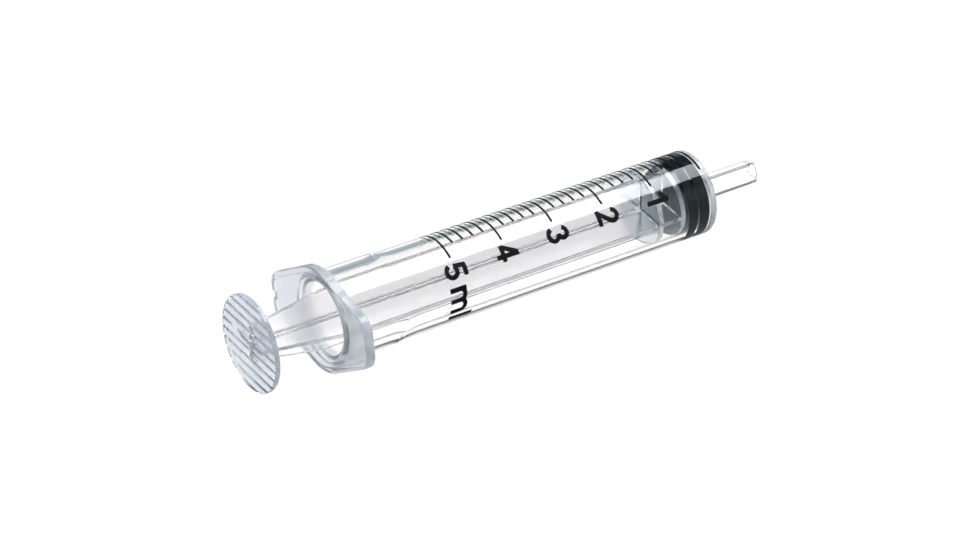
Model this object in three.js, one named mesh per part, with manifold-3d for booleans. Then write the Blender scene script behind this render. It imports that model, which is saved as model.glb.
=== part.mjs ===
// 5 ml oral syringe: barrel, plunger rod, stopper and printed scale.
// Millimetres, +X along the barrel towards the nozzle, flange wings along Y, +Z up.
// Everything is drawn from the scale's zero line on the barrel's axis, and the whole is
// then shifted so that the origin is the bottom centre of the overall box.

import * as THREE from 'three';
import { mergeVertices } from 'three/addons/utils/BufferGeometryUtils.js';
import Module from 'manifold-3d';

const wasm = await Module();
wasm.setup();

// ---- driving dimensions -------------------------------------------------------------

const BORE_RADIUS = 5.85;
const MM_PER_ML = 1000 / (Math.PI * BORE_RADIUS ** 2);
const SCALE_ML = 5;
const STEPS_PER_ML = 5;
const ROUND_SIDES = 64;

// How far joined solids reach into each other, and cutting tools past the material
const JOIN_DEPTH = 0.3;
const CUT_MARGIN = 1;

// Barrel
const TUBE_RADIUS_AT_ZERO = 6.75;
const TUBE_DRAFT = 0.002;
const COLLAR_EXTRA = 0.2;
const COLLAR_FRONT_X = -56;
const FRONT_INNER_X = 0.2;
const FRONT_OUTER_X = 1.25;
const FRONT_EDGE_RADIUS = 0.6;
const NOZZLE_TIP_X = 12.5;
const NOZZLE_BASE_RADIUS = 1.93;
const NOZZLE_TIP_RADIUS = 1.85;
const NOZZLE_BORE_RADIUS = 0.9;
const NOZZLE_FILLET = 0.4;
const NOZZLE_TIP_CHAMFER = 0.15;
const TUBE_DEPTH_IN_FLANGE = 1;

// Finger flange
const FLANGE_REAR_X = -67.6;
const FLANGE_THICKNESS = 1.6;
const FLANGE_HALF_SPAN = 13.5;
const FLANGE_TIP_HALF_HEIGHT = 4.46;
const FLANGE_CORNER_RADIUS = 2.8;
const FLANGE_HUB_RADIUS = 8.43;
const FLANGE_RIM_WIDTH = 0.95;
const FLANGE_RIM_HEIGHT = 0.5;
const RIM_NOTCH_WIDTH = 1.5;
const MOUTH_LIP_TOP_RADIUS = 6.65;
const MOUTH_LIP_FOOT_RADIUS = 8.1;
const MOUTH_LIP_HEIGHT = 0.2;
const MOUTH_CHAMFER_DEPTH = 0.5;

// Plunger rod
const ROD_TURN = THREE.MathUtils.degToRad(12);
const THUMB_FACE_X = -79.7;
const THUMB_RADIUS = 7.75;
const THUMB_THICKNESS = 0.85;
const THUMB_EDGE = 0.2;
const GRIP_PITCH = 1.61;
const GRIP_GROOVES = 10;
const GRIP_GROOVE_WIDTH = 0.6;
const GRIP_GROOVE_DEPTH = 0.35;
const FIN_THICKNESS = 0.85;
const FIN_HALF_HEIGHT_AT_THUMB = 3.04;
const FIN_HALF_HEIGHT = 5.4;
const FIN_FULL_X = -67;
const FIN_CORE_RADIUS = 0.9;
const GUIDE_DISC_REAR_X = -9.5;
const DISC_THICKNESS = 0.9;
const GUIDE_DISC_RADIUS = 5.65;
const SEAT_DISC_REAR_X = -5.2;
const SEAT_DISC_RADIUS = 5.45;
const NECK_RADIUS = 1.7;
const HEAD_RADIUS = 2.7;
const HEAD_REAR_X = -3.0;
const HEAD_FRONT_X = -1.3;
const HEAD_TAPER = 0.9;

// Stopper
const STOPPER_REAR_X = -4.0;
const STOPPER_SEAL_RADIUS = BORE_RADIUS - 0.03;
const STOPPER_GROOVE_RADIUS = 5.45;
const STOPPER_GROOVE_REAR_X = -2.4;
const STOPPER_GROOVE_FRONT_X = -1.8;
const STOPPER_EDGE = 0.15;
const STOPPER_GROOVE_SLOPE = 0.1;
const SOCKET_GAP = 0.2;

// Printed scale
const INK_THICKNESS = 0.03;
const INK_GAP = 0.004;
const LINE_WIDTH = 0.38;
const LINE_FAR_ANGLE = THREE.MathUtils.degToRad(49.4);
const LONG_LINE_NEAR_ANGLE = THREE.MathUtils.degToRad(130.6);
const SHORT_LINE_NEAR_ANGLE = THREE.MathUtils.degToRad(110.4);
const PRINT_TWIST = THREE.MathUtils.degToRad(-0.0974);
const PRINT_TWIST_CENTRE_X = -22;
const LINE_FACET = THREE.MathUtils.degToRad(5);
const GLYPH_STROKE = 0.76;
const NUMERAL_HEIGHT = 3.9;
const NUMERAL_ANGLE = THREE.MathUtils.degToRad(148.3);
const LETTER_M_ANGLE = THREE.MathUtils.degToRad(187.2);
const LETTER_L_ANGLE = THREE.MathUtils.degToRad(214.6);
const LETTER_BASE_X = -48.35;

// ---- solids: joining and cutting ----------------------------------------------------

function toSolid(geometry) {
  const bare = geometry.clone();
  bare.deleteAttribute('normal');
  bare.deleteAttribute('uv');
  const merged = mergeVertices(bare, 1e-5);
  return new wasm.Manifold(new wasm.Mesh({
    numProp: 3,
    vertProperties: new Float32Array(merged.attributes.position.array),
    triVerts: new Uint32Array(merged.index.array),
  }));
}

function toGeometry(solid) {
  const mesh = solid.getMesh();
  const geometry = new THREE.BufferGeometry();
  geometry.setAttribute('position', new THREE.BufferAttribute(mesh.vertProperties, 3));
  geometry.setIndex(new THREE.BufferAttribute(mesh.triVerts, 1));
  return geometry;
}

function joinAll(solids) {
  return solids.reduce((whole, next) => whole.add(next));
}

// ---- geometry along the X axis ------------------------------------------------------

// A solid of revolution about the X axis, from a list of [x, radius] points.
function turned(profile, sides = ROUND_SIDES) {
  const points = profile.map(([x, radius]) => new THREE.Vector2(radius, x));
  if (profile[0][1] > 0) {
    points.push(points[0].clone());
  }
  const geometry = new THREE.LatheGeometry(points, sides);
  geometry.rotateZ(-Math.PI / 2);
  if (signedVolume(geometry) < 0) {
    flipFaces(geometry);
  }
  return geometry;
}

function signedVolume(geometry) {
  const position = geometry.attributes.position;
  const index = geometry.index.array;
  const corners = [new THREE.Vector3(), new THREE.Vector3(), new THREE.Vector3()];
  let volume = 0;
  for (let i = 0; i < index.length; i += 3) {
    corners.forEach((corner, k) => corner.fromBufferAttribute(position, index[i + k]));
    volume += corners[0].dot(corners[1].clone().cross(corners[2])) / 6;
  }
  return volume;
}

function flipFaces(geometry) {
  const index = geometry.index.array;
  for (let i = 0; i < index.length; i += 3) {
    [index[i + 1], index[i + 2]] = [index[i + 2], index[i + 1]];
  }
}

// A shape drawn in (Y, Z) and extruded along X from x0 to x1.
function extrudedAlongX(shape, x0, x1, curveSegments = 8) {
  const options = { depth: x1 - x0, bevelEnabled: false, curveSegments };
  const geometry = new THREE.ExtrudeGeometry(shape, options);
  const toYZX = new THREE.Matrix4().makeBasis(
    new THREE.Vector3(0, 1, 0),
    new THREE.Vector3(0, 0, 1),
    new THREE.Vector3(1, 0, 0),
  );
  geometry.applyMatrix4(toYZX);
  geometry.translate(x0, 0, 0);
  return geometry;
}

// Points of a quarter-round edge, from angle a0 to a1, as [x, radius].
function roundedEdge(centreX, centreRadius, edgeRadius, a0, a1, steps = 5) {
  return Array.from({ length: steps + 1 }, (_, i) => {
    const angle = a0 + ((a1 - a0) * i) / steps;
    return [centreX + edgeRadius * Math.cos(angle), centreRadius + edgeRadius * Math.sin(angle)];
  });
}

function tubeRadius(x) {
  return TUBE_RADIUS_AT_ZERO - TUBE_DRAFT * x;
}

// ---- barrel -------------------------------------------------------------------------

// The outline of the flange: a round hub and two wings with rounded corners, joined by
// their common tangents. inset moves it inwards by that distance.
function flangeOutline(inset = 0) {
  const hub = FLANGE_HUB_RADIUS - inset;
  const corner = FLANGE_CORNER_RADIUS - inset;
  const cornerY = FLANGE_HALF_SPAN - FLANGE_CORNER_RADIUS;
  const cornerZ = FLANGE_TIP_HALF_HEIGHT - FLANGE_CORNER_RADIUS;
  const reach = Math.hypot(cornerY, cornerZ);
  const tangent = Math.atan2(cornerZ, cornerY) + Math.acos((hub - corner) / reach);
  const shape = new THREE.Shape();
  shape.absarc(0, 0, hub, tangent, Math.PI - tangent, false);
  shape.absarc(-cornerY, cornerZ, corner, Math.PI - tangent, Math.PI, false);
  shape.absarc(-cornerY, -cornerZ, corner, Math.PI, Math.PI + tangent, false);
  shape.absarc(0, 0, hub, Math.PI + tangent, 2 * Math.PI - tangent, false);
  shape.absarc(cornerY, -cornerZ, corner, -tangent, 0, false);
  shape.absarc(cornerY, cornerZ, corner, 0, tangent, false);
  return shape;
}

// A plate with a raised rim on its thumb side, notched at the middle of the far (+Y)
// wing's end, and a low sloping lip round the bore's mouth.
function flangeSolid() {
  const front = FLANGE_REAR_X + FLANGE_THICKNESS;
  const floor = FLANGE_REAR_X + FLANGE_RIM_HEIGHT;
  const plate = toSolid(extrudedAlongX(flangeOutline(), FLANGE_REAR_X, front));
  const tray = extrudedAlongX(flangeOutline(FLANGE_RIM_WIDTH), FLANGE_REAR_X - CUT_MARGIN, floor);
  const notch = new THREE.BoxGeometry(2, 4, RIM_NOTCH_WIDTH);
  notch.translate(floor - 1, FLANGE_HALF_SPAN, 0);
  const lip = turned([
    [floor - MOUTH_LIP_HEIGHT, 0],
    [floor - MOUTH_LIP_HEIGHT, MOUTH_LIP_TOP_RADIUS],
    [floor, MOUTH_LIP_FOOT_RADIUS],
    [floor + JOIN_DEPTH, MOUTH_LIP_FOOT_RADIUS],
    [floor + JOIN_DEPTH, 0],
  ]);
  return plate.subtract(toSolid(tray)).subtract(toSolid(notch)).add(toSolid(lip));
}

function tubeSolid() {
  const edge = roundedEdge(
    FRONT_OUTER_X - FRONT_EDGE_RADIUS,
    tubeRadius(0) - FRONT_EDGE_RADIUS,
    FRONT_EDGE_RADIUS,
    Math.PI / 2,
    0,
  );
  const fillet = roundedEdge(
    FRONT_OUTER_X + NOZZLE_FILLET,
    NOZZLE_BASE_RADIUS + NOZZLE_FILLET,
    NOZZLE_FILLET,
    Math.PI,
    1.5 * Math.PI,
    3,
  );
  const rear = FLANGE_REAR_X + FLANGE_THICKNESS - TUBE_DEPTH_IN_FLANGE;
  return toSolid(turned([
    [rear, 0],
    [rear, tubeRadius(FLANGE_REAR_X) + COLLAR_EXTRA],
    [COLLAR_FRONT_X, tubeRadius(COLLAR_FRONT_X) + COLLAR_EXTRA],
    [COLLAR_FRONT_X + COLLAR_EXTRA, tubeRadius(COLLAR_FRONT_X)],
    ...edge,
    ...fillet,
    [NOZZLE_TIP_X - NOZZLE_TIP_CHAMFER, NOZZLE_TIP_RADIUS],
    [NOZZLE_TIP_X, NOZZLE_TIP_RADIUS - NOZZLE_TIP_CHAMFER],
    [NOZZLE_TIP_X, 0],
  ]));
}

function boreSolid() {
  const lipTop = FLANGE_REAR_X + FLANGE_RIM_HEIGHT - MOUTH_LIP_HEIGHT;
  return toSolid(turned([
    [FLANGE_REAR_X - CUT_MARGIN, 0],
    [FLANGE_REAR_X - CUT_MARGIN, MOUTH_LIP_TOP_RADIUS],
    [lipTop, MOUTH_LIP_TOP_RADIUS],
    [lipTop + MOUTH_CHAMFER_DEPTH, BORE_RADIUS],
    [FRONT_INNER_X, BORE_RADIUS],
    [FRONT_INNER_X, NOZZLE_BORE_RADIUS],
    [NOZZLE_TIP_X + CUT_MARGIN, NOZZLE_BORE_RADIUS],
    [NOZZLE_TIP_X + CUT_MARGIN, 0],
  ]));
}

function barrelGeometry() {
  return toGeometry(joinAll([flangeSolid(), tubeSolid()]).subtract(boreSolid()));
}

// ---- plunger rod --------------------------------------------------------------------

// One fin pair, drawn as half height over x, extruded to its thickness across.
function finPairSolid(turn) {
  const outline = [
    [THUMB_FACE_X + THUMB_THICKNESS - JOIN_DEPTH, FIN_HALF_HEIGHT_AT_THUMB],
    [FIN_FULL_X, FIN_HALF_HEIGHT],
    [SEAT_DISC_REAR_X + DISC_THICKNESS / 2, FIN_HALF_HEIGHT],
  ];
  const lower = [...outline].reverse().map(([x, half]) => [x, -half]);
  const points = [...outline, ...lower].map(([x, half]) => new THREE.Vector2(x, half));
  const shape = new THREE.Shape(points);
  const options = { depth: FIN_THICKNESS, bevelEnabled: false };
  const geometry = new THREE.ExtrudeGeometry(shape, options);
  geometry.translate(0, 0, -FIN_THICKNESS / 2);
  geometry.rotateX(Math.PI / 2 + turn);
  return toSolid(geometry);
}

// Straight grooves across the thumb face leave a row of parallel gripping ribs.
function gripGrooves() {
  return Array.from({ length: GRIP_GROOVES }, (_, i) => {
    const z = (i - (GRIP_GROOVES - 1) / 2) * GRIP_PITCH;
    const half = GRIP_GROOVE_WIDTH / 2;
    const shape = new THREE.Shape([
      new THREE.Vector2(-0.1, z - half - 0.03),
      new THREE.Vector2(GRIP_GROOVE_DEPTH, z - half / 2),
      new THREE.Vector2(GRIP_GROOVE_DEPTH, z + half / 2),
      new THREE.Vector2(-0.1, z + half + 0.03),
    ]);
    const options = { depth: 2 * (THUMB_RADIUS + CUT_MARGIN), bevelEnabled: false };
    const geometry = new THREE.ExtrudeGeometry(shape, options);
    geometry.translate(THUMB_FACE_X, 0, -THUMB_RADIUS - CUT_MARGIN);
    geometry.rotateX(Math.PI / 2);
    return toSolid(geometry);
  });
}

function thumbRestSolid() {
  const front = THUMB_FACE_X + THUMB_THICKNESS;
  const disc = toSolid(turned([
    [THUMB_FACE_X, 0],
    [THUMB_FACE_X, THUMB_RADIUS - THUMB_EDGE],
    [THUMB_FACE_X + THUMB_EDGE, THUMB_RADIUS],
    [front - THUMB_EDGE, THUMB_RADIUS],
    [front, THUMB_RADIUS - THUMB_EDGE],
    [front, 0],
  ]));
  return gripGrooves().reduce((rest, groove) => rest.subtract(groove), disc);
}

function turnedDisc(rearX, radius, thickness) {
  return toSolid(turned([
    [rearX, 0],
    [rearX, radius],
    [rearX + thickness, radius],
    [rearX + thickness, 0],
  ]));
}

function rodHeadSolid() {
  return toSolid(turned([
    [SEAT_DISC_REAR_X + DISC_THICKNESS / 2, 0],
    [SEAT_DISC_REAR_X + DISC_THICKNESS / 2, NECK_RADIUS],
    [HEAD_REAR_X, NECK_RADIUS],
    [HEAD_REAR_X, HEAD_RADIUS],
    [HEAD_FRONT_X, HEAD_RADIUS - HEAD_TAPER],
    [HEAD_FRONT_X, 0],
  ], 32));
}

function plungerRodGeometry() {
  const core = toSolid(turned([
    [THUMB_FACE_X + THUMB_THICKNESS / 2, 0],
    [THUMB_FACE_X + THUMB_THICKNESS / 2, FIN_CORE_RADIUS],
    [SEAT_DISC_REAR_X + DISC_THICKNESS / 2, FIN_CORE_RADIUS],
    [SEAT_DISC_REAR_X + DISC_THICKNESS / 2, 0],
  ], 16));
  return toGeometry(joinAll([
    thumbRestSolid(),
    core,
    finPairSolid(0),
    finPairSolid(Math.PI / 2),
    turnedDisc(GUIDE_DISC_REAR_X, GUIDE_DISC_RADIUS, DISC_THICKNESS),
    turnedDisc(SEAT_DISC_REAR_X, SEAT_DISC_RADIUS, DISC_THICKNESS),
    rodHeadSolid(),
  ]));
}

// ---- stopper ------------------------------------------------------------------------

function stopperGeometry() {
  return turned([
    [0, 0],
    [0, STOPPER_SEAL_RADIUS - STOPPER_EDGE],
    [-STOPPER_EDGE, STOPPER_SEAL_RADIUS],
    [STOPPER_GROOVE_FRONT_X + STOPPER_GROOVE_SLOPE, STOPPER_SEAL_RADIUS],
    [STOPPER_GROOVE_FRONT_X, STOPPER_GROOVE_RADIUS],
    [STOPPER_GROOVE_REAR_X, STOPPER_GROOVE_RADIUS],
    [STOPPER_GROOVE_REAR_X - STOPPER_GROOVE_SLOPE, STOPPER_SEAL_RADIUS],
    [STOPPER_REAR_X + STOPPER_EDGE, STOPPER_SEAL_RADIUS],
    [STOPPER_REAR_X, STOPPER_SEAL_RADIUS - STOPPER_EDGE],
    [STOPPER_REAR_X, NECK_RADIUS + SOCKET_GAP],
    [HEAD_REAR_X - SOCKET_GAP, NECK_RADIUS + SOCKET_GAP],
    [HEAD_REAR_X - SOCKET_GAP, HEAD_RADIUS + SOCKET_GAP],
    [HEAD_FRONT_X + SOCKET_GAP, HEAD_RADIUS - HEAD_TAPER + SOCKET_GAP],
    [HEAD_FRONT_X + SOCKET_GAP, 0],
  ]);
}

// ---- printed scale ------------------------------------------------------------------

// Flat facets of the print stay clear of the tube by having their corners further out.
function inkRadius(x, facet) {
  return (tubeRadius(x) + INK_GAP) / Math.cos(facet / 2);
}

function graduationGeometry(step) {
  const x = (-step * MM_PER_ML) / STEPS_PER_ML;
  const isLong = step % STEPS_PER_ML === 0;
  const twist = PRINT_TWIST * (x - PRINT_TWIST_CENTRE_X);
  const far = LINE_FAR_ANGLE + twist;
  const near = (isLong ? LONG_LINE_NEAR_ANGLE : SHORT_LINE_NEAR_ANGLE) + twist;
  const facets = Math.ceil((near - far) / LINE_FACET);
  const inner = inkRadius(x - LINE_WIDTH / 2, (near - far) / facets);
  const ring = (radius) => Array.from({ length: facets + 1 }, (_, i) => {
    const angle = far + ((near - far) * i) / facets;
    return new THREE.Vector2(radius * Math.cos(angle), radius * Math.sin(angle));
  });
  const shape = new THREE.Shape([...ring(inner + INK_THICKNESS), ...ring(inner).reverse()]);
  return extrudedAlongX(shape, x - LINE_WIDTH / 2, x + LINE_WIDTH / 2);
}

// Glyphs are drawn flat as strokes: u runs in the reading direction, w towards the glyph's
// top, both from its lower left corner.
function arcPoints(u, w, radiusU, radiusW, degrees0, degrees1, steps = 10) {
  return Array.from({ length: steps + 1 }, (_, i) => {
    const angle = THREE.MathUtils.degToRad(degrees0 + ((degrees1 - degrees0) * i) / steps);
    return [u + radiusU * Math.cos(angle), w + radiusW * Math.sin(angle)];
  });
}

function strokeShape(centreline) {
  const points = centreline.map(([u, w]) => new THREE.Vector2(u, w));
  const side = (sign) => points.map((point, i) => {
    const before = points[Math.max(i - 1, 0)];
    const after = points[Math.min(i + 1, points.length - 1)];
    const along = after.clone().sub(before).normalize();
    const across = new THREE.Vector2(-along.y, along.x).multiplyScalar((sign * GLYPH_STROKE) / 2);
    return point.clone().add(across);
  });
  return new THREE.Shape([...side(-1), ...side(1).reverse()]);
}

const HALF = GLYPH_STROKE / 2;
const X_HEIGHT = 2.9;
const ASCENDER = 4.1;

const GLYPHS = {
  1: {
    width: 1.6,
    strokes: [
      [[1.25, 0], [1.25, NUMERAL_HEIGHT]],
      [[0, 2.85], [0.55, 2.95], [0.95, 3.2], [1.2, 3.7]],
    ],
  },
  2: {
    width: 2.55,
    strokes: [
      [...arcPoints(1.27, 2.72, 0.9, 0.84, 175, -30), [0.42, HALF]],
      [[0, HALF], [2.5, HALF]],
    ],
  },
  3: {
    width: 2.55,
    strokes: [
      arcPoints(1.25, 2.82, 0.8, 0.74, 170, -90),
      arcPoints(1.25, 1.22, 0.95, 0.88, 90, -170),
    ],
  },
  4: {
    width: 2.6,
    strokes: [
      [[1.75, 0], [1.75, NUMERAL_HEIGHT]],
      [[1.6, 3.62], [0.3, 1.25]],
      [[0.02, 1.2], [2.6, 1.2]],
    ],
  },
  5: {
    width: 2.55,
    strokes: [
      [[0.5, NUMERAL_HEIGHT - HALF], [2.35, NUMERAL_HEIGHT - HALF]],
      [[0.72, NUMERAL_HEIGHT - 0.1], [0.48, 1.75]],
      arcPoints(1.27, 1.25, 0.93, 0.91, 140, -165, 12),
    ],
  },
  m: {
    width: 4.35,
    strokes: [
      [[HALF, 0], [HALF, X_HEIGHT]],
      [...arcPoints(1.26, 1.8, 0.92, 0.76, 180, 0), [2.18, 0]],
      [...arcPoints(3.1, 1.8, 0.92, 0.76, 180, 0), [4.02, 0]],
    ],
  },
  l: {
    width: GLYPH_STROKE,
    strokes: [
      [[HALF, 0], [HALF, ASCENDER]],
    ],
  },
};

// A ring of ink thickness lying on the tube between two x values.
function inkSkinSolid(x0, x1) {
  const facet = (2 * Math.PI) / ROUND_SIDES;
  const [rear, front] = [inkRadius(x0, facet), inkRadius(x1, facet)];
  return toSolid(turned([
    [x0, rear],
    [x0, rear + INK_THICKNESS],
    [x1, front + INK_THICKNESS],
    [x1, front],
  ]));
}

// The flat glyph stands radially on the tube at the angle, and the ink skin cuts it.
function glyphGeometry(name, baseX, angle) {
  const glyph = GLYPHS[name];
  const twisted = angle + PRINT_TWIST * (baseX - PRINT_TWIST_CENTRE_X);
  const options = { depth: 3, bevelEnabled: false };
  const solids = glyph.strokes.map((centreline) => {
    const geometry = new THREE.ExtrudeGeometry(strokeShape(centreline), options);
    geometry.translate(-glyph.width / 2, 0, tubeRadius(baseX) - 1.5);
    const radial = new THREE.Vector3(0, Math.cos(twisted), Math.sin(twisted));
    const reading = new THREE.Vector3(0, -Math.sin(twisted), Math.cos(twisted));
    const up = new THREE.Vector3(1, 0, 0);
    geometry.applyMatrix4(new THREE.Matrix4().makeBasis(reading, up, radial));
    geometry.translate(baseX, 0, 0);
    return toSolid(geometry);
  });
  return toGeometry(joinAll(solids).intersect(inkSkinSolid(baseX - 0.5, baseX + ASCENDER + 0.5)));
}

// ---- materials ----------------------------------------------------------------------

function clearPlastic() {
  return new THREE.MeshStandardMaterial({
    color: 0xe8edf0,
    roughness: 0.15,
    metalness: 0,
    transparent: true,
    opacity: 0.35,
  });
}

function stopperRubber() {
  return new THREE.MeshStandardMaterial({ color: 0x0c0d0e, roughness: 0.45, metalness: 0 });
}

function scaleInk() {
  return new THREE.MeshStandardMaterial({ color: 0x111111, roughness: 0.5, metalness: 0 });
}

// ---- assembly -----------------------------------------------------------------------

function piece(name, geometry, material) {
  const mesh = new THREE.Mesh(geometry, material);
  mesh.name = name;
  return mesh;
}

function plungerRod() {
  const turnedRod = new THREE.Group();
  turnedRod.rotation.x = ROD_TURN;
  turnedRod.add(piece('plunger_rod', plungerRodGeometry(), clearPlastic()));
  return turnedRod;
}

function printedScale() {
  const scale = new THREE.Group();
  for (let step = 0; step <= SCALE_ML * STEPS_PER_ML; step += 1) {
    const label = (step / STEPS_PER_ML).toFixed(1).replace('.', '_');
    scale.add(piece(`graduation_${label}_ml`, graduationGeometry(step), scaleInk()));
  }
  for (let ml = 1; ml <= SCALE_ML; ml += 1) {
    const baseX = -ml * MM_PER_ML - NUMERAL_HEIGHT / 2;
    scale.add(piece(`numeral_${ml}`, glyphGeometry(ml, baseX, NUMERAL_ANGLE), scaleInk()));
  }
  scale.add(piece('unit_letter_m', glyphGeometry('m', LETTER_BASE_X, LETTER_M_ANGLE), scaleInk()));
  scale.add(piece('unit_letter_l', glyphGeometry('l', LETTER_BASE_X, LETTER_L_ANGLE), scaleInk()));
  return scale;
}

const syringe = new THREE.Group();
syringe.position.set(-(THUMB_FACE_X + NOZZLE_TIP_X) / 2, 0, FLANGE_HUB_RADIUS);
syringe.add(piece('barrel', barrelGeometry(), clearPlastic()));
syringe.add(piece('stopper', stopperGeometry(), stopperRubber()));
syringe.add(plungerRod());
syringe.add(printedScale());

export default syringe;
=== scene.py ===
"""Visual model of the 5 ml oral syringe: barrel, plunger rod, stopper and printed scale.

The object's lengths are millimetres, measured from the scale's zero line on the barrel's
axis, as in the CAD. place() turns them into metres in the CAD's own frame. The stage is in
metres.
"""

import math

import bmesh
import bpy
from mathutils import Matrix
from mathutils import Vector


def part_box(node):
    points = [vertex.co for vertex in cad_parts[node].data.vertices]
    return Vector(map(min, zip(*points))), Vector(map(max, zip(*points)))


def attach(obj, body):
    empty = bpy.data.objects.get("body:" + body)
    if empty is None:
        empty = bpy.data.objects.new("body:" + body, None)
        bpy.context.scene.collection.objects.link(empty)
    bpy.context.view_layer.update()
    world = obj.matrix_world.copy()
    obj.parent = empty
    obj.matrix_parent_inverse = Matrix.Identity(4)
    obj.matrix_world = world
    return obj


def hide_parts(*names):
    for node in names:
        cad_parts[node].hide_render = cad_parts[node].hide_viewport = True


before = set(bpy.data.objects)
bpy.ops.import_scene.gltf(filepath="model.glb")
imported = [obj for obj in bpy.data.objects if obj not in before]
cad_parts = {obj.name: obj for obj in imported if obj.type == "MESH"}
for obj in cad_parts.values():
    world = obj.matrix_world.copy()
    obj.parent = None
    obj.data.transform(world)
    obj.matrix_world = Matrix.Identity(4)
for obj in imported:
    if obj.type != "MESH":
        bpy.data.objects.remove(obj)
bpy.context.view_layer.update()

MM = 0.001
zero_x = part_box("stopper")[1].x
barrel_low, barrel_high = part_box("barrel")
axis_z = (barrel_low.z + barrel_high.z) / 2

# ---- dimensions -----------------------------------------------------------------------

BORE_RADIUS = 5.85
TUBE_RADIUS_AT_ZERO = 6.75
TUBE_DRAFT = 0.002
COLLAR_EXTRA = 0.2
COLLAR_FRONT_X = -56.0
FRONT_INNER_X = 0.2
FRONT_OUTER_X = 1.25
FRONT_EDGE_RADIUS = 0.6
NOZZLE_TIP_X = 12.5
NOZZLE_BASE_RADIUS = 1.93
NOZZLE_TIP_RADIUS = 1.85
NOZZLE_BORE_RADIUS = 0.9
NOZZLE_FILLET = 0.4
NOZZLE_TIP_ROUND = 0.12

FLANGE_REAR_X = -67.6
FLANGE_THICKNESS = 1.6
FLANGE_HALF_SPAN = 13.5
FLANGE_TIP_HALF_HEIGHT = 4.46
FLANGE_CORNER_RADIUS = 2.8
FLANGE_HUB_RADIUS = 8.43
FLANGE_EDGE = 0.3
RIM_WIDTH = 0.95
RIM_HEIGHT = 0.5
RIM_NOTCH_HALF_WIDTH = 0.75
RIM_NOTCH_BLEND = 0.35
LIP_TOP_RADIUS = 6.65
LIP_FOOT_RADIUS = 8.1
LIP_HEIGHT = 0.2
MOUTH_CHAMFER_DEPTH = 0.5

ROD_TURN = math.radians(12)
THUMB_FACE_X = -79.7
THUMB_RADIUS = 7.75
THUMB_THICKNESS = 0.85
THUMB_FRONT_X = THUMB_FACE_X + THUMB_THICKNESS
THUMB_EDGE = 0.2
GRIP_PITCH = 1.61
GRIP_GROOVES = 10
GRIP_GROOVE_WIDTH = 0.6
GRIP_GROOVE_DEPTH = 0.35
GROOVE_MARGIN = 0.03
FIN_HALF_THICKNESS_TIP = 0.36
FIN_HALF_THICKNESS_ROOT = 0.46
FIN_ROOT_FILLET = 0.3
FIN_TIP_ROUND = 0.1
FIN_HALF_HEIGHT_AT_THUMB = 3.1
FIN_JOIN_DEPTH = 0.3
FIN_HALF_HEIGHT = 5.4
FIN_FULL_X = -67.0
GUIDE_DISC = (-9.5, -8.6, 5.65)
SEAT_DISC = (-5.2, -4.3, 5.45)
DISC_EDGE = 0.12
NECK_RADIUS = 1.7
HEAD_RADIUS = 2.7
HEAD_REAR_X = -3.0
HEAD_FRONT_X = -1.3

STOPPER_REAR_X = -4.0
STOPPER_SEAL_RADIUS = 5.86
STOPPER_GROOVE_RADIUS = 5.45
STOPPER_GROOVE = (-2.17, -2.03)
STOPPER_GROOVE_SLOPE = 0.03
STOPPER_EDGE = 0.15
SOCKET_GAP = 0.2

# The stage, in metres
SHADOW_CENTRE_Y = -0.0010
SHADOW_INNER = 0.0010
SHADOW_OUTER = 0.0016
SHADOW_HALF_LENGTH = 0.034
SHADOW_FADE_END = 0.044
FOREGROUND_END_Y = -0.022
FOREGROUND_START_Y = -0.010
UNSHADED = 9.0
ROOM_DIMS_FROM = math.radians(22)
ROOM_DARK_FROM = math.radians(38)

FLANGE_DOTS = ((-9.07, -3.19), (-11.32, -3.26), (-11.37, 2.77))
FLANGE_DOT_RADIUS = 0.24
FLANGE_DOT_HEIGHT = 0.12
GATE_MARK = (4.0, 0.5)
GATE_MARK_RADIUS = 0.9
EJECTOR_MARK = (-73.8, 2.7)
EJECTOR_MARK_RADIUS = 0.75
EJECTOR_MARK_FLOOR_Y = -0.345

LATHE_SEGMENTS = 192
END_STEPS = 10
CORNER_STEPS = 14
SIDE_STEPS = 40
HUB_STEPS = 14


# ---- mesh building --------------------------------------------------------------------


def place(x, y, z):
    """A point in millimetres from the scale's zero line, as metres in the CAD's frame."""
    return Vector((zero_x + x * MM, y * MM, axis_z + z * MM))


def mesh_object(name, points, faces):
    mesh = bpy.data.meshes.new(name)
    mesh.from_pydata([place(*p) for p in points], [], faces)
    work = bmesh.new()
    work.from_mesh(mesh)
    bmesh.ops.remove_doubles(work, verts=work.verts, dist=1e-7)
    bmesh.ops.recalc_face_normals(work, faces=work.faces)
    work.to_mesh(mesh)
    work.free()
    obj = bpy.data.objects.new(name, mesh)
    bpy.context.scene.collection.objects.link(obj)
    return obj


def skin_rings(name, rings, closed):
    """A mesh through rings that all have the same number of points."""
    count = len(rings[0])
    points = [p for ring in rings for p in ring]
    spans = len(rings) if closed else len(rings) - 1
    faces = []
    for k in range(spans):
        a = k * count
        b = ((k + 1) % len(rings)) * count
        for i in range(count):
            j = (i + 1) % count
            faces.append((a + i, a + j, b + j, b + i))
    if not closed:
        faces.append(tuple(range(count)))
        last = (len(rings) - 1) * count
        faces.append(tuple(last + i for i in range(count)))
    return mesh_object(name, points, faces)


def arc(centre_x, centre_r, radius, start, end, steps=6):
    """Points (x, r) on an arc, with its angles in degrees from the +x direction."""
    points = []
    for k in range(steps + 1):
        angle = math.radians(start + (end - start) * k / steps)
        x = centre_x + radius * math.cos(angle)
        r = centre_r + radius * math.sin(angle)
        points.append((x, r))
    return points


def even_angles(count):
    return [2 * math.pi * i / count for i in range(count)]


def circle_ring(x, radius, angles):
    return [(x, radius * math.cos(a), radius * math.sin(a)) for a in angles]


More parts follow.
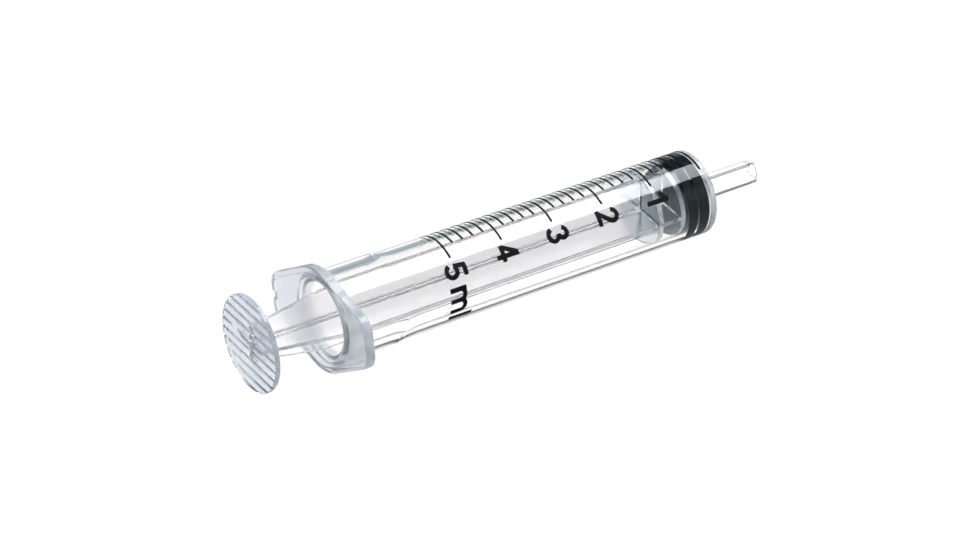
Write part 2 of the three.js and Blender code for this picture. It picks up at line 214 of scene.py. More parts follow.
def lathe(name, profile):
    """A closed solid from an (x, r) profile that starts and ends on the axis."""
    angles = even_angles(LATHE_SEGMENTS)
    rings = [circle_ring(x, max(r, 0.0), angles) for x, r in profile]
    points = [p for ring in rings for p in ring]
    faces = []
    for k in range(len(rings) - 1):
        a = k * LATHE_SEGMENTS
        b = a + LATHE_SEGMENTS
        for i in range(LATHE_SEGMENTS):
            j = (i + 1) % LATHE_SEGMENTS
            faces.append((a + i, a + j, b + j, b + i))
    return mesh_object(name, points, faces)


def combine(target, tool, operation):
    """Joins tool into target, or cuts it out, and removes tool."""
    modifier = target.modifiers.new("combine", "BOOLEAN")
    modifier.operation = operation
    modifier.solver = "EXACT"
    modifier.object = tool
    graph = bpy.context.evaluated_depsgraph_get()
    result = bpy.data.meshes.new_from_object(target.evaluated_get(graph))
    target.modifiers.clear()
    target.data = result
    bpy.data.objects.remove(tool)
    return target


def finish_shading(obj, sharp_degrees=32):
    """Smooth faces with crisp edges, and flat faces kept flat beside their rounded edges."""
    obj.data.shade_smooth()
    obj.data.set_sharp_from_angle(angle=math.radians(sharp_degrees))
    weighted = obj.modifiers.new("weighted_normals", "WEIGHTED_NORMAL")
    weighted.keep_sharp = True
    weighted.weight = 100


# ---- barrel ---------------------------------------------------------------------------


def tube_radius(x):
    return TUBE_RADIUS_AT_ZERO - TUBE_DRAFT * x


def flange_quadrant(inset):
    """The flange's outline as (y, z), from the wing's middle round to the hub's top."""
    hub = FLANGE_HUB_RADIUS - inset
    corner = FLANGE_CORNER_RADIUS - inset
    corner_y = FLANGE_HALF_SPAN - FLANGE_CORNER_RADIUS
    corner_z = FLANGE_TIP_HALF_HEIGHT - FLANGE_CORNER_RADIUS
    reach = math.hypot(corner_y, corner_z)
    tangent = math.atan2(corner_z, corner_y) + math.acos((hub - corner) / reach)
    points = []
    for k in range(END_STEPS):
        points.append((FLANGE_HALF_SPAN - inset, corner_z * k / END_STEPS))
    for k in range(CORNER_STEPS):
        a = tangent * k / CORNER_STEPS
        points.append((corner_y + corner * math.cos(a), corner_z + corner * math.sin(a)))
    start_y = corner_y + corner * math.cos(tangent)
    start_z = corner_z + corner * math.sin(tangent)
    end_y = hub * math.cos(tangent)
    end_z = hub * math.sin(tangent)
    for k in range(SIDE_STEPS):
        t = k / SIDE_STEPS
        points.append((start_y + (end_y - start_y) * t, start_z + (end_z - start_z) * t))
    for k in range(HUB_STEPS + 1):
        a = tangent + (math.pi / 2 - tangent) * k / HUB_STEPS
        points.append((hub * math.cos(a), hub * math.sin(a)))
    return points


def flange_outline(inset):
    quarter = flange_quadrant(inset)
    second = [(-y, z) for y, z in reversed(quarter)]
    third = [(-y, -z) for y, z in quarter]
    fourth = [(y, -z) for y, z in reversed(quarter)]
    return quarter[:-1] + second[:-1] + third[:-1] + fourth[:-1]


def lip_x(radius):
    """Where the sloping lip round the mouth lies, or the tray's floor outside it."""
    floor = FLANGE_REAR_X + RIM_HEIGHT
    if radius >= LIP_FOOT_RADIUS:
        return floor
    rise = (LIP_FOOT_RADIUS - radius) / (LIP_FOOT_RADIUS - LIP_TOP_RADIUS)
    return floor - LIP_HEIGHT * min(rise, 1.0)


def notch_weight(y, z):
    """1 in the notch at the middle of the far wing's end, falling smoothly to 0."""
    if y < FLANGE_HALF_SPAN - 2.0:
        return 0.0
    t = (abs(z) - RIM_NOTCH_HALF_WIDTH + RIM_NOTCH_BLEND) / RIM_NOTCH_BLEND
    t = min(max(t, 0.0), 1.0)
    return 1.0 - t * t * (3.0 - 2.0 * t)


def flange_ring(x, inset):
    """A ring on the flange, raised onto the lip by the hub and sunk in the rim's notch."""
    floor = FLANGE_REAR_X + RIM_HEIGHT
    ring = []
    for y, z in flange_outline(inset):
        px = x
        if inset > RIM_WIDTH - 0.01:
            px = min(px, lip_x(math.hypot(y, z)))
        if px < floor:
            px += (floor - px) * notch_weight(y, z)
        ring.append((px, y, z))
    return ring


def lip_foot_ring(inset, angles):
    ring = []
    for (y, z), a in zip(flange_outline(inset), angles):
        radius = min(LIP_FOOT_RADIUS, math.hypot(y, z) - 0.03)
        ring.append((lip_x(radius), radius * math.cos(a), radius * math.sin(a)))
    return ring


def barrel_outside_profile():
    """(x, r) from the nozzle's tip back to the foot of the flange's front face."""
    tip = NOZZLE_TIP_X
    edge = NOZZLE_TIP_ROUND
    profile = arc(tip - edge, NOZZLE_BORE_RADIUS + edge, edge, -90, 0)
    profile += arc(tip - edge, NOZZLE_TIP_RADIUS - edge, edge, 0, 90)
    root_x = FRONT_OUTER_X + NOZZLE_FILLET
    for k in range(1, 6):
        t = k / 6
        x = tip - edge + (root_x - tip + edge) * t
        profile.append((x, NOZZLE_TIP_RADIUS + (NOZZLE_BASE_RADIUS - NOZZLE_TIP_RADIUS) * t))
    profile += arc(root_x, NOZZLE_BASE_RADIUS + NOZZLE_FILLET, NOZZLE_FILLET, -90, -180)
    front_r = tube_radius(FRONT_OUTER_X)
    edge_r = front_r - FRONT_EDGE_RADIUS
    profile.append((FRONT_OUTER_X, NOZZLE_BASE_RADIUS + NOZZLE_FILLET + 0.05))
    profile.append((FRONT_OUTER_X, edge_r - 0.05))
    profile += arc(FRONT_OUTER_X - FRONT_EDGE_RADIUS, edge_r, FRONT_EDGE_RADIUS, 0, 90, 12)
    for x in (0.0, -5.0, -15.0, -25.0, -35.0, -45.0, -54.0, COLLAR_FRONT_X + 0.15):
        profile.append((x, tube_radius(x)))
    profile.append((COLLAR_FRONT_X + 0.05, tube_radius(COLLAR_FRONT_X) + 0.02))
    profile.append((COLLAR_FRONT_X - 0.1, tube_radius(COLLAR_FRONT_X) + COLLAR_EXTRA - 0.02))
    profile.append((COLLAR_FRONT_X - 0.2, tube_radius(COLLAR_FRONT_X) + COLLAR_EXTRA))
    flange_front = FLANGE_REAR_X + FLANGE_THICKNESS
    collar_r = tube_radius(flange_front) + COLLAR_EXTRA
    for x in (-58.0, -62.0, flange_front + 0.55):
        profile.append((x, tube_radius(x) + COLLAR_EXTRA))
    profile += arc(flange_front + 0.5, collar_r + 0.5, 0.5, -90, -180, 8)
    return profile


def flange_rings():
    """From the front face, over the outer edge and the rim, down to the tray's floor."""
    front = FLANGE_REAR_X + FLANGE_THICKNESS
    edge = FLANGE_EDGE
    rings = [flange_ring(front, edge + 0.04)]
    for k in range(6):
        a = math.radians(90 * k / 5)
        rings.append(flange_ring(front - edge + edge * math.cos(a), edge - edge * math.sin(a)))
    for k in range(6):
        a = math.radians(90 + 90 * k / 5)
        x = FLANGE_REAR_X + edge + edge * math.cos(a)
        rings.append(flange_ring(x, edge - edge * math.sin(a)))
    inner = 0.2
    for k in range(6):
        a = math.radians(180 - 90 * k / 5)
        x = FLANGE_REAR_X + inner + inner * math.cos(a)
        rings.append(flange_ring(x, RIM_WIDTH - inner - 0.02 + inner * math.sin(a)))
    fillet = 0.12
    floor = FLANGE_REAR_X + RIM_HEIGHT
    for k in range(5):
        b = math.radians(90 * k / 4)
        x = floor - fillet + fillet * math.sin(b)
        rings.append(flange_ring(x, RIM_WIDTH + fillet - fillet * math.cos(b)))
    rings.append(flange_ring(floor, RIM_WIDTH + fillet + 0.05))
    return rings


def barrel_inside_profile():
    """(x, r) from the lip's top, down the bore and out through the nozzle."""
    top_x = FLANGE_REAR_X + RIM_HEIGHT - LIP_HEIGHT
    profile = [(lip_x(LIP_TOP_RADIUS + 0.06), LIP_TOP_RADIUS + 0.06)]
    profile.append((top_x + 0.01, LIP_TOP_RADIUS))
    profile.append((top_x + 0.05, LIP_TOP_RADIUS - 0.06))
    profile.append((top_x + MOUTH_CHAMFER_DEPTH, BORE_RADIUS + 0.02))
    profile.append((top_x + MOUTH_CHAMFER_DEPTH + 0.08, BORE_RADIUS))
    for x in (-60.0, -50.0, -40.0, -30.0, -20.0, -10.0, -2.0, FRONT_INNER_X - 0.25):
        profile.append((x, BORE_RADIUS))
    profile += arc(FRONT_INNER_X - 0.2, BORE_RADIUS - 0.2, 0.2, 90, 0, 5)
    entry = 0.25
    profile.append((FRONT_INNER_X, BORE_RADIUS - 0.25))
    profile.append((FRONT_INNER_X, NOZZLE_BORE_RADIUS + entry + 0.05))
    profile += arc(FRONT_INNER_X + entry, NOZZLE_BORE_RADIUS + entry, entry, 180, 270, 5)
    for x in (2.0, 5.0, 8.0, 11.0):
        profile.append((x, NOZZLE_BORE_RADIUS))
    return profile


def shifted(obj, y, z):
    obj.data.transform(Matrix.Translation(Vector((0.0, y * MM, z * MM))))
    return obj


def moulding_dot(y, z):
    """One of the small raised dots on the near wing's rear face."""
    floor = FLANGE_REAR_X + RIM_HEIGHT
    radius = FLANGE_DOT_RADIUS
    top = floor - FLANGE_DOT_HEIGHT
    profile = [(floor + 0.15, 0.0), (floor + 0.15, radius), (floor - 0.02, radius)]
    profile += [(top + 0.04, radius - 0.06), (top, radius - 0.14), (top, 0.0)]
    return shifted(lathe("moulding_dot", profile), y, z)


def build_barrel():
    angles = [math.atan2(z, y) for y, z in flange_outline(0.0)]
    rings = [circle_ring(x, r, angles) for x, r in barrel_outside_profile()]
    rings += flange_rings()
    rings.append(lip_foot_ring(RIM_WIDTH + 0.17, angles))
    rings += [circle_ring(x, r, angles) for x, r in barrel_inside_profile()]
    barrel = skin_rings("clear_barrel_body", rings, closed=True)
    for y, z in FLANGE_DOTS:
        combine(barrel, moulding_dot(y, z), "UNION")
    return barrel


# ---- plunger rod ----------------------------------------------------------------------


def turned_about_axis(points):
    """Points turned about the barrel's axis to where the photograph shows the rod."""
    c = math.cos(ROD_TURN)
    s = math.sin(ROD_TURN)
    return [(x, y * c - z * s, y * s + z * c) for x, y, z in points]


def fin_half_height(x):
    if x >= FIN_FULL_X:
        return FIN_HALF_HEIGHT
    t = min(max((x - THUMB_FRONT_X) / (FIN_FULL_X - THUMB_FRONT_X), 0.0), 1.0)
    return FIN_HALF_HEIGHT_AT_THUMB + (FIN_HALF_HEIGHT - FIN_HALF_HEIGHT_AT_THUMB) * t


def cross_section(half_height, flare):
    """One closed (y, z) outline of two crossed fins, with rounded tips and roots."""
    tip = FIN_HALF_THICKNESS_TIP + flare
    root = FIN_HALF_THICKNESS_ROOT + flare
    edge = FIN_TIP_ROUND
    fillet = FIN_ROOT_FILLET
    quarter = arc(half_height - edge, tip - edge, edge, 0, 90, 4)
    quarter += arc(root + fillet, root + fillet, fillet, 270, 180, 6)
    quarter += arc(tip - edge, half_height - edge, edge, 0, 90, 4)
    outline = []
    for turn in range(4):
        c = round(math.cos(math.pi / 2 * turn))
        s = round(math.sin(math.pi / 2 * turn))
        outline += [(u * c - w * s, u * s + w * c) for u, w in quarter]
    return outline


def build_fins():
    stations = [(THUMB_FRONT_X - FIN_JOIN_DEPTH, 0.3), (THUMB_FRONT_X, 0.3)]
    stations += [(THUMB_FRONT_X + 0.06, 0.16)]
    stations += [(THUMB_FRONT_X + 0.16, 0.07), (THUMB_FRONT_X + 0.32, 0.02)]
    stations += [(THUMB_FRONT_X + 0.5, 0.0), (-75.0, 0.0), (-71.0, 0.0), (-67.6, 0.0)]
    stations += [(FIN_FULL_X, 0.0), (-66.4, 0.0), (-60.0, 0.0), (-50.0, 0.0), (-40.0, 0.0)]
    stations += [(-30.0, 0.0), (-20.0, 0.0), (-12.0, 0.0), (-4.75, 0.0)]
    rings = []
    for x, flare in stations:
        section = cross_section(fin_half_height(x), flare)
        rings.append(turned_about_axis([(x, y, z) for y, z in section]))
    return skin_rings("clear_plunger_rod", rings, closed=False)


def disc(name, rear_x, front_x, radius, edge):
    profile = [(rear_x, 0.0), (rear_x, radius - edge - 0.04)]
    profile += arc(rear_x + edge, radius - edge, edge, 180, 90)
    profile += arc(front_x - edge, radius - edge, edge, 90, 0)
    profile += [(front_x, radius - edge - 0.04), (front_x, 0.0)]
    return lathe(name, profile)


def rod_head():
    profile = [(SEAT_DISC[1] - 0.3, 0.0), (SEAT_DISC[1] - 0.3, NECK_RADIUS)]
    profile += [(HEAD_REAR_X, NECK_RADIUS), (HEAD_REAR_X, HEAD_RADIUS - 0.1)]
    profile += arc(HEAD_REAR_X + 0.1, HEAD_RADIUS - 0.1, 0.1, 180, 90, 3)
    profile += arc(HEAD_FRONT_X - 0.1, HEAD_RADIUS - 0.1, 0.1, 90, 0, 3)
    profile.append((HEAD_FRONT_X, 0.0))
    return lathe("rod_head", profile)


def grip_section():
    """The thumb face across its ribs, as (v, x), with rounded grooves."""
    points = []
    half = GRIP_GROOVE_WIDTH / 2
    for k in range(GRIP_GROOVES):
        centre = GRIP_PITCH * (k - (GRIP_GROOVES - 1) / 2)
        points.append((centre - half - 0.1, THUMB_FACE_X))
        for step in range(9):
            t = -1 + step / 4
            depth = GRIP_GROOVE_DEPTH * math.cos(math.pi / 2 * t) ** 0.7
            points.append((centre + half * t, THUMB_FACE_X + max(depth, 0.012)))
        points.append((centre + half + 0.1, THUMB_FACE_X))
    return points


def build_thumb_rest():
    """A rounded disc whose outer face has straight moulded ribs across it."""
    front = THUMB_FRONT_X
    rest = disc("thumb_rest", THUMB_FACE_X, front, THUMB_RADIUS, THUMB_EDGE)
    face = grip_section()
    reach = THUMB_RADIUS + 2.0
    outline = [(-reach, THUMB_FACE_X)] + face + [(reach, THUMB_FACE_X)]
    outline += [(reach, front + 1.0), (-reach, front + 1.0)]
    count = len(outline)
    near = turned_about_axis([(x, -reach, v) for v, x in outline])
    far = turned_about_axis([(x, reach, v) for v, x in outline])
    faces = [tuple(range(count)), tuple(range(count, 2 * count))]
    for i in range(count):
        j = (i + 1) % count
        faces.append((i, j, count + j, count + i))
    ribbed = mesh_object("ribbed_block", near + far, faces)
    return combine(rest, ribbed, "INTERSECT")


def gate_mark():
    """The flat round spot on the thumb face where the plastic entered the mould."""
    y, z = GATE_MARK
    _, turned_y, turned_z = turned_about_axis([(0.0, y, z)])[0]
    radius = GATE_MARK_RADIUS
    face = THUMB_FACE_X + 0.02
    profile = [(face, 0.0), (face, radius - 0.08), (face + 0.06, radius)]
    profile += [(face + 0.5, radius), (face + 0.5, 0.0)]
    return shifted(lathe("gate_mark", profile), turned_y, turned_z)


def ejector_mark():
    """A tool for the shallow round print of an ejector pin on the upright fin."""
    x, z = EJECTOR_MARK
    rings = []
    for y in (-0.7, EJECTOR_MARK_FLOOR_Y):
        circle = []
        for a in even_angles(48):
            across = EJECTOR_MARK_RADIUS * math.cos(a)
            upwards = EJECTOR_MARK_RADIUS * math.sin(a)
            circle.append((x + across, y, z + upwards))
        rings.append(turned_about_axis(circle))
    return skin_rings("ejector_mark", rings, closed=False)


def build_rod():
    rod = build_fins()
    combine(rod, ejector_mark(), "DIFFERENCE")
    combine(rod, build_thumb_rest(), "UNION")
    combine(rod, gate_mark(), "UNION")
    combine(rod, disc("guide_disc", *GUIDE_DISC, DISC_EDGE), "UNION")
    combine(rod, disc("seat_disc", *SEAT_DISC, DISC_EDGE), "UNION")
    combine(rod, rod_head(), "UNION")
    return rod


# ---- stopper --------------------------------------------------------------------------


def build_stopper():
    """A short rubber stopper with two seal bands and a socket for the rod's head.

    The bore squeezes the rubber, so the bands press on the wall and spread over the groove.
    """
    seal = STOPPER_SEAL_RADIUS
    edge = STOPPER_EDGE
    groove_rear, groove_front = STOPPER_GROOVE
    socket_neck = NECK_RADIUS + SOCKET_GAP
    socket_head = HEAD_RADIUS + SOCKET_GAP
    profile = [(HEAD_FRONT_X + SOCKET_GAP, 0.0), (HEAD_FRONT_X + SOCKET_GAP, socket_head)]
    profile += [(HEAD_REAR_X - SOCKET_GAP, socket_head), (HEAD_REAR_X - SOCKET_GAP, socket_neck)]
    profile += [(STOPPER_REAR_X, socket_neck)]
    profile += arc(STOPPER_REAR_X + edge, seal - edge, edge, 180, 90)
    profile += arc(groove_rear - edge, seal - edge, edge, 90, 20)
    profile += [(groove_rear, STOPPER_GROOVE_RADIUS + 0.05)]
    profile += [(groove_rear + STOPPER_GROOVE_SLOPE, STOPPER_GROOVE_RADIUS)]
    profile += [(groove_front - STOPPER_GROOVE_SLOPE, STOPPER_GROOVE_RADIUS)]
    profile += [(groove_front, STOPPER_GROOVE_RADIUS + 0.05)]
    profile += arc(groove_front + edge, seal - edge, edge, 160, 90)
    profile += arc(-edge, seal - edge, edge, 90, 0)
    profile.append((0.0, 0.0))
    return lathe("rubber_stopper", profile)


# ---- materials ------------------------------------------------------------------------


# Plastics as (colour, transmission, roughness), and tints as (colour, start, end)
BARREL_CLEAR = ((0.955, 0.95, 0.948, 1.0), 1.0, 0.025)
BARREL_HAZY = ((0.83, 0.85, 0.875, 1.0), 0.82, 0.24)
BARREL_HAZY_REAR = (-65.4, -64.2)
BARREL_HAZY_FRONT = (0.35, 1.5, 0.3)
FLANGE_REAR_TINT = ((0.82, 0.855, 0.89, 1.0), -67.35, -67.15)
ROD_CLEAR = ((0.995, 0.99, 0.99, 1.0), 0.97, 0.20)
ROD_HAZY = ((0.82, 0.845, 0.87, 1.0), 0.84, 0.19)
ROD_HAZY_REAR = (THUMB_FRONT_X, THUMB_FRONT_X + 0.5)
ROD_FRONT_TINT = ((0.78, 0.86, 0.90, 1.0), -6.0, -15.0)
# The grooves' darker plastic is painted shade, for the way light leaves the thumb face's grooves
# dark.
THUMB_GROOVE_PAINTED_SHADE = ((0.70, 0.72, 0.75, 1.0), 0.90, 0.16)
PLASTIC_IOR = 1.49


def new_material(name):
    material = bpy.data.materials.new(name)
    material.use_nodes = True
    nodes = material.node_tree.nodes
    return material, nodes, material.node_tree.links, nodes["Principled BSDF"]


def add_bump(nodes, links, shader, scale, strength, distance):
    """Fine moulded unevenness, in the object's own coordinates."""
    place_node = nodes.new("ShaderNodeTexCoord")
    noise = nodes.new("ShaderNodeTexNoise")
    noise.inputs["Scale"].default_value = scale
    noise.inputs["Detail"].default_value = 3.0
    bump = nodes.new("ShaderNodeBump")
    bump.inputs["Strength"].default_value = strength
    bump.inputs["Distance"].default_value = distance
    links.new(place_node.outputs["Object"], noise.inputs["Vector"])
    links.new(noise.outputs["Fac"], bump.inputs["Height"])
    links.new(bump.outputs["Normal"], shader.inputs["Normal"])
    return noise


def vary(nodes, links, noise, socket, low, high):
    """Drives a socket between two values with the noise."""
    spread = nodes.new("ShaderNodeMapRange")
    spread.inputs["From Min"].default_value = 0.3
    spread.inputs["From Max"].default_value = 0.7
    spread.inputs["To Min"].default_value = low
    spread.inputs["To Max"].default_value = high
    links.new(noise.outputs["Fac"], spread.inputs["Value"])
    links.new(spread.outputs["Result"], socket)


def share_along_x(nodes, links, start, end):
    """0 before start and 1 after end, in millimetres from the scale's zero line."""
    where = nodes.new("ShaderNodeTexCoord")
    split = nodes.new("ShaderNodeSeparateXYZ")
    ramp = nodes.new("ShaderNodeMapRange")
    ramp.interpolation_type = "SMOOTHSTEP"
    ramp.inputs["From Min"].default_value = zero_x + start * MM
    ramp.inputs["From Max"].default_value = zero_x + end * MM
    links.new(where.outputs["Object"], split.inputs["Vector"])
    links.new(split.outputs["X"], ramp.inputs["Value"])
    return ramp.outputs["Result"]


def between(nodes, links, share, low, high):
    """A value that goes from low to high as share goes from 0 to 1."""
    spread = nodes.new("ShaderNodeMapRange")
    spread.inputs["To Min"].default_value = low
    spread.inputs["To Max"].default_value = high
    links.new(share, spread.inputs["Value"])
    return spread.outputs["Result"]


def added(nodes, links, first, second):
    total = nodes.new("ShaderNodeMath")
    total.operation = "ADD"
    total.use_clamp = True
    links.new(first, total.inputs[0])
    links.new(second, total.inputs[1])
    return total.outputs["Value"]


def smaller(nodes, links, first, second):
    least = nodes.new("ShaderNodeMath")
    least.operation = "MINIMUM"
    links.new(first, least.inputs[0])
    links.new(second, least.inputs[1])
    return least.outputs["Value"]


def clear_share(nodes, links, hazy_rear, hazy_front):
    """1 where the moulding is clear, and 0 in its hazy rear end and hazy front wall."""
    share = share_along_x(nodes, links, *hazy_rear)
    if hazy_front is None:
        return share
    start, end, fade = hazy_front
    before = share_along_x(nodes, links, start, start - fade)
    after = share_along_x(nodes, links, end, end + fade)
    return smaller(nodes, links, share, added(nodes, links, before, after))


def mixed_colour(nodes, links, share, low, high):
    """A colour that goes from low to high as share goes from 0 to 1.

    low is a constant, and high is a constant or another node's output.
    """
    mix = nodes.new("ShaderNodeMix")
    mix.data_type = "RGBA"
    low_socket, high_socket = [i for i in mix.inputs if i.type == "RGBA"]
    low_socket.default_value = low
    if isinstance(high, tuple):
        high_socket.default_value = high
    else:
        links.new(high, high_socket)
    links.new(share, mix.inputs[0])
    return next(o for o in mix.outputs if o.type == "RGBA")


def milky_plastic(name, clear, hazy, hazy_rear, hazy_front=None, tinted_end=None):
    """Translucent moulded plastic, hazier where it is thick or finely textured.

    clear and hazy are (colour, transmission, roughness). tinted_end is (colour, start,
    end): the tint is full up to start and gone by end.
    """
    material, nodes, links, shader = new_material(name)
    shader.inputs["IOR"].default_value = PLASTIC_IOR
    noise = add_bump(nodes, links, shader, 60.0, 0.01, 0.00001)
    share = clear_share(nodes, links, hazy_rear, hazy_front)
    colour = mixed_colour(nodes, links, share, hazy[0], clear[0])
    if tinted_end:
        tint, start, end = tinted_end
        untinted = share_along_x(nodes, links, start, end)
        colour = mixed_colour(nodes, links, untinted, tint, colour)
    links.new(colour, shader.inputs["Base Color"])
    transmission = between(nodes, links, share, hazy[1], clear[1])
    links.new(transmission, shader.inputs["Transmission Weight"])
    roughness = between(nodes, links, share, hazy[2], clear[2])
    cloud = between(nodes, links, noise.outputs["Fac"], -0.012, 0.012)
    links.new(added(nodes, links, roughness, cloud), shader.inputs["Roughness"])
    absorb = nodes.new("ShaderNodeVolumeAbsorption")
    absorb.inputs["Color"].default_value = (0.84, 0.93, 1.0, 1.0)
    absorb.inputs["Density"].default_value = 9.0
    links.new(absorb.outputs["Volume"], nodes["Material Output"].inputs["Volume"])
    return material


def black_rubber():
    material, nodes, links, shader = new_material("black_rubber")
    shader.inputs["Base Color"].default_value = (0.007, 0.012, 0.013, 1.0)
    shader.inputs["Specular IOR Level"].default_value = 0.15
    noise = add_bump(nodes, links, shader, 1800.0, 0.15, 0.00002)
    vary(nodes, links, noise, shader.inputs["Roughness"], 0.38, 0.5)
    return material


def printed_ink():
    material, nodes, links, shader = new_material("printed_ink")
    shader.inputs["Base Color"].default_value = (0.003, 0.003, 0.003, 1.0)
    shader.inputs["Specular IOR Level"].default_value = 0.12
    noise = add_bump(nodes, links, shader, 4000.0, 0.1, 0.00001)
    vary(nodes, links, noise, shader.inputs["Roughness"], 0.5, 0.65)
    return material


# ---- stage ----------------------------------------------------------------------------


def glowing_plane(name, height, colour, strength):
    size = 4.0
    mesh = bpy.data.meshes.new(name)
    corners = [(-size, -size, 0), (size, -size, 0), (size, size, 0), (-size, size, 0)]
    mesh.from_pydata(corners, [], [(0, 1, 2, 3)])
    plane = bpy.data.objects.new(name, mesh)
    plane.location.z = height
    bpy.context.scene.collection.objects.link(plane)
    material = bpy.data.materials.new(name)
    material.use_nodes = True
    nodes = material.node_tree.nodes
    nodes.clear()
    output = nodes.new("ShaderNodeOutputMaterial")
    light = nodes.new("ShaderNodeEmission")
    light.inputs["Color"].default_value = colour
    light.inputs["Strength"].default_value = strength
    material.node_tree.links.new(light.outputs["Emission"], output.inputs["Surface"])
    mesh.materials.append(material)
    return plane


def away_from(nodes, links, value, centre, inner, outer):
    """0 where value is within inner of centre and 1 beyond outer; metres."""
    offset = nodes.new("ShaderNodeMath")
    offset.operation = "SUBTRACT"
    offset.inputs[1].default_value = centre
    size = nodes.new("ShaderNodeMath")
    size.operation = "ABSOLUTE"
    links.new(value, offset.inputs[0])
    links.new(offset.outputs["Value"], size.inputs[0])
    return ramp_share(nodes, links, size.outputs["Value"], inner, outer)


def ramp_share(nodes, links, value, start, end):
    ramp = nodes.new("ShaderNodeMapRange")
    ramp.interpolation_type = "SMOOTHSTEP"
    ramp.inputs["From Min"].default_value = start
    ramp.inputs["From Max"].default_value = end
    links.new(value, ramp.inputs["Value"])
    return ramp.outputs["Result"]


def shade_under_syringe(plane, darkest, foreground, brightest):
    """The narrow shadow under the barrel, and the darker floor in front of it.

    The three levels are emission strengths."""
    tree = plane.data.materials[0].node_tree
    nodes = tree.nodes
    links = tree.links
    where = nodes.new("ShaderNodeTexCoord")
    split = nodes.new("ShaderNodeSeparateXYZ")
    links.new(where.outputs["Object"], split.inputs["Vector"])
    y = split.outputs["Y"]
    across = away_from(nodes, links, y, SHADOW_CENTRE_Y, SHADOW_INNER, SHADOW_OUTER)
    x = split.outputs["X"]
    along = away_from(nodes, links, x, 0.0, SHADOW_HALF_LENGTH, SHADOW_FADE_END)
    lit = added(nodes, links, across, along)
    behind = ramp_share(nodes, links, y, FOREGROUND_END_Y, FOREGROUND_START_Y)
    open_floor = between(nodes, links, behind, foreground, brightest)
    shadow = between(nodes, links, lit, darkest, UNSHADED)
    emission = next(n for n in nodes if n.type == "EMISSION")
    links.new(smaller(nodes, links, open_floor, shadow), emission.inputs["Strength"])


def seen_only_by(plane, camera=False, reflections=False, light_through=False):
    plane.visible_camera = camera
    plane.visible_glossy = reflections
    plane.visible_transmission = light_through
    plane.visible_diffuse = light_through
    plane.visible_shadow = False


def studio_floor():
    """The photograph is a cut-out: pure white outside the syringe, a pale studio with a
    soft shadow seen through it, and a dark foreground mirrored in it. So the camera sees
    one floor, light that has passed through the plastic another, and reflections a third."""
    white = glowing_plane("white_floor", -0.0002, (1.0, 1.0, 1.0, 1.0), 1.02)
    seen_only_by(white, camera=True)
    pale = glowing_plane("pale_floor", -0.0003, (1.0, 0.985, 0.99, 1.0), 1.0)
    seen_only_by(pale, light_through=True)
    shade_under_syringe(pale, 0.04, 0.55, 1.28)
    dark = glowing_plane("foreground", -0.0004, (0.85, 1.0, 1.03, 1.0), 0.3)
    seen_only_by(dark, reflections=True)


def softbox(name, centre, size_x, size_y, radiance):
    """An area light that faces the syringe; radiance is what its face looks like."""
    light = bpy.data.lights.new(name, "AREA")
    light.shape = "RECTANGLE"
    light.color = (0.93, 0.98, 1.04)
    light.size = size_x
    light.size_y = size_y
    light.energy = radiance * math.pi * size_x * size_y
    lamp = bpy.data.objects.new(name, light)
    bpy.context.scene.collection.objects.link(lamp)
    lamp.location = centre
    return lamp


def dim_room(level, overhead):
    """A dim bluish room that gets darker upwards, between two elevations' sines."""
    world = bpy.data.worlds.new("room")
    world.use_nodes = True
    nodes = world.node_tree.nodes
    links = world.node_tree.links
    where = nodes.new("ShaderNodeTexCoord")
    split = nodes.new("ShaderNodeSeparateXYZ")
    links.new(where.outputs["Generated"], split.inputs["Vector"])
    low = math.sin(ROOM_DIMS_FROM)
    high = math.sin(ROOM_DARK_FROM)
    height = ramp_share(nodes, links, split.outputs["Z"], low, high)
    colour = mixed_colour(nodes, links, height, level, overhead)
    links.new(colour, nodes["Background"].inputs["Color"])
    bpy.context.scene.world = world


def photo_camera():
    """The photograph's view, solved from the drawn scale and the flange."""
    lens = 173.45
    distance = 0.718
    azimuth = math.radians(30.93)
    elevation = math.radians(23.386)
    roll = math.radians(5.73)
    target = place(-37.511, -0.454, -1.954)
    level = math.cos(elevation)
    forward = Vector((level * math.sin(azimuth), level * math.cos(azimuth), -math.sin(elevation)))
    flat_right = forward.cross(Vector((0, 0, 1))).normalized()
    flat_up = flat_right.cross(forward)
    right = flat_right * math.cos(roll) - flat_up * math.sin(roll)
    up = flat_right * math.sin(roll) + flat_up * math.cos(roll)
    data = bpy.data.cameras.new("camera")
    data.lens = lens
    data.sensor_width = 36.0
    data.clip_start = 0.01
    data.clip_end = 20.0
    camera = bpy.data.objects.new("camera", data)
    bpy.context.scene.collection.objects.link(camera)
    turn = Matrix((right, up, -forward)).transposed().to_4x4()
    camera.matrix_world = Matrix.Translation(target - forward * distance) @ turn
    bpy.context.scene.camera = camera


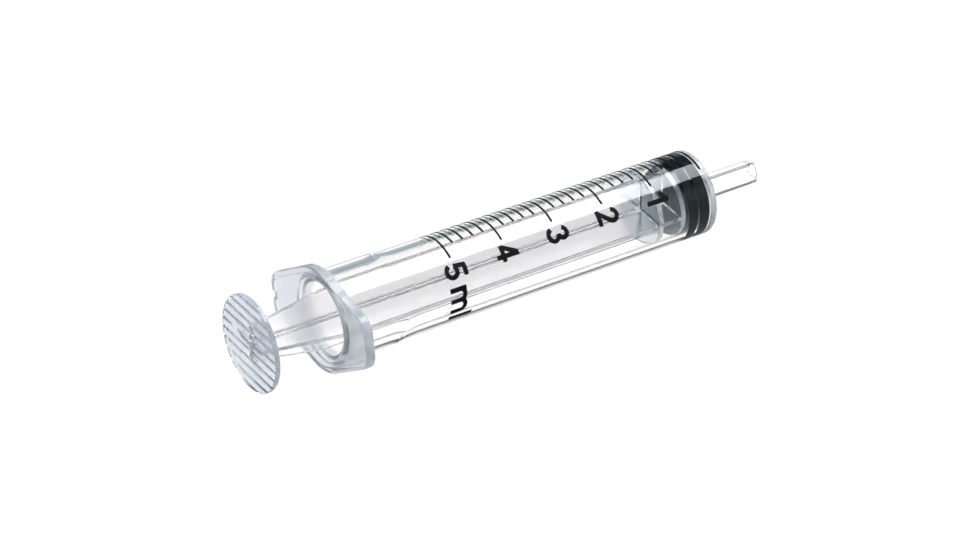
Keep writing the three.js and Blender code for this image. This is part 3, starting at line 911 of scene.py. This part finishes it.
# ---- assembly -------------------------------------------------------------------------


def dress(obj, material, node, body, sharp_degrees=32):
    finish_shading(obj, sharp_degrees)
    obj.data.materials.clear()
    obj.data.materials.append(material)
    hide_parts(node)
    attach(obj, body)


def paint_shade_into_grooves(rod, material):
    """Paints shade into the thumb face's grooves: they get a darker copy of the rod's plastic.

    The tint stands in for the way the photograph's light leaves the grooves dark.
    """
    rod.data.materials.append(material)
    first = place(THUMB_FACE_X + GROOVE_MARGIN, 0, 0).x
    last = place(THUMB_FACE_X + GRIP_GROOVE_DEPTH + GROOVE_MARGIN, 0, 0).x
    reach = (THUMB_RADIUS - THUMB_EDGE) * MM
    for face in rod.data.polygons:
        x, y, z = face.center
        if first < x < last and math.hypot(y, z - axis_z) < reach:
            face.material_index = 1


photo_camera()

barrel_plastic = milky_plastic("clear_polypropylene", BARREL_CLEAR, BARREL_HAZY,
                               BARREL_HAZY_REAR, BARREL_HAZY_FRONT, FLANGE_REAR_TINT)
rod_plastic = milky_plastic("clear_rod_plastic", ROD_CLEAR, ROD_HAZY,
                            ROD_HAZY_REAR, None, ROD_FRONT_TINT)
# A darker copy of the rod's plastic: painted shade for the thumb face's grooves.
groove_shade_material = milky_plastic("thumb_groove_painted_shade", THUMB_GROOVE_PAINTED_SHADE, THUMB_GROOVE_PAINTED_SHADE,
                               ROD_HAZY_REAR)
rubber = black_rubber()
ink = printed_ink()

dress(build_barrel(), barrel_plastic, "barrel", "barrel")
rod = build_rod()
dress(rod, rod_plastic, "plunger_rod", "plunger")
# Paints shade into the thumb face's grooves with the darker plastic.
paint_shade_into_grooves(rod, groove_shade_material)
dress(build_stopper(), rubber, "stopper", "stopper", 50)

for name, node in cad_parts.items():
    if name.startswith(("graduation", "numeral", "unit_letter")):
        node.data.materials.clear()
        node.data.materials.append(ink)

studio_floor()
softbox("overhead_softbox", (0.45, -0.16, 0.80), 1.6, 0.60, 7.0)
dim_room((0.36, 0.44, 0.47, 1.0), (0.015, 0.02, 0.025, 1.0))

scene = bpy.context.scene
scene.view_settings.view_transform = "Standard"
scene.cycles.max_bounces = 32
scene.cycles.transmission_bounces = 32
scene.cycles.glossy_bounces = 16
scene.cycles.transparent_max_bounces = 16
